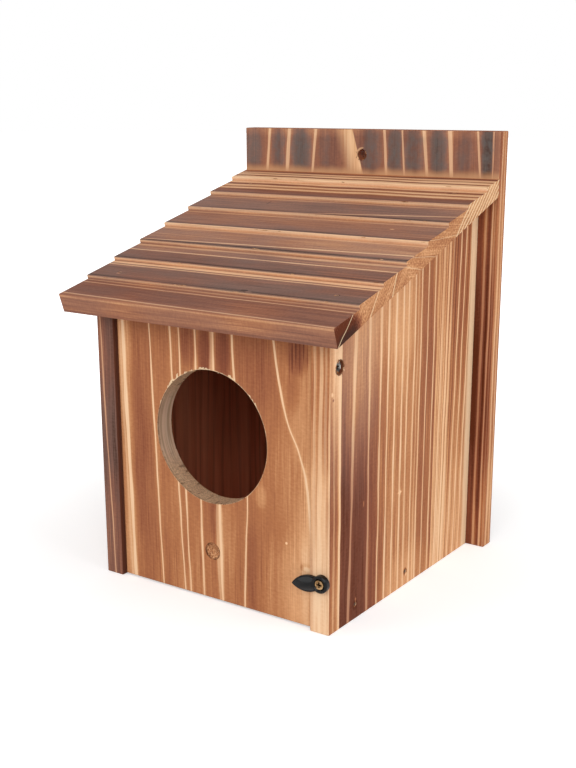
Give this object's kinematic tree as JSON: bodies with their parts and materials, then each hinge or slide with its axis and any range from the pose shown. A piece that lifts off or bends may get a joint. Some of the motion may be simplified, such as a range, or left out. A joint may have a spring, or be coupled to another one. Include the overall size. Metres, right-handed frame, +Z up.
{
  "type": "nest box",
  "caption": "Wooden wall-hung nest box with a stepped sloping roof, a large round entrance in a swing-out front, a turn button that keeps it shut, and a hanging hole.",
  "frame": {"origin": "middle of the overall footprint, on the plane that the box stands on", "axes": "+Z up, +Y from the front to the wall, +X to the right as seen from the front"},
  "size_m": [0.18, 0.1866, 0.2524],
  "materials": {
    "charred_wood": "softwood, flame charred and brushed, brown to purple-brown with pale grain lines, satin",
    "plug_end_grain": "rough charred end grain, matt",
    "steel": "zinc plated, dull",
    "black_paint": "satin black",
    "antique_brass": "dark antique brass"
  },
  "bodies": {
    "nest_box": {"back_board": "charred_wood", "left_side": "charred_wood", "right_side": "charred_wood", "floor": "charred_wood", "roof_front_stave": "charred_wood", "roof_middle_stave": "charred_wood", "roof_rear_stave": "charred_wood", "left_floor_brads": "steel", "right_floor_brads": "steel", "rear_floor_brads": "steel", "left_roof_brads": "steel", "right_roof_brads": "steel", "left_back_screws": "steel", "right_back_screws": "steel", "turn_button_screw": "antique_brass"},
    "front_door": {"front_door": "charred_wood", "perch_hole_plug": "plug_end_grain", "left_pivot_screw": "steel", "right_pivot_screw": "steel"},
    "turn_button": {"turn_button": "black_paint"}
  },
  "joints": [
    {"name": "front_swing", "type": "hinge", "parent": "nest_box", "child": "front_door", "pos_m": [0, -0.06831, 0.143], "axis": [-1, 0, 0], "range_deg": [0, 105]},
    {"name": "button_turn", "type": "hinge", "parent": "nest_box", "child": "turn_button", "pos_m": [0.0737, -0.07691, 0.029], "axis": [0, -1, 0], "continuous": true}
  ]
}
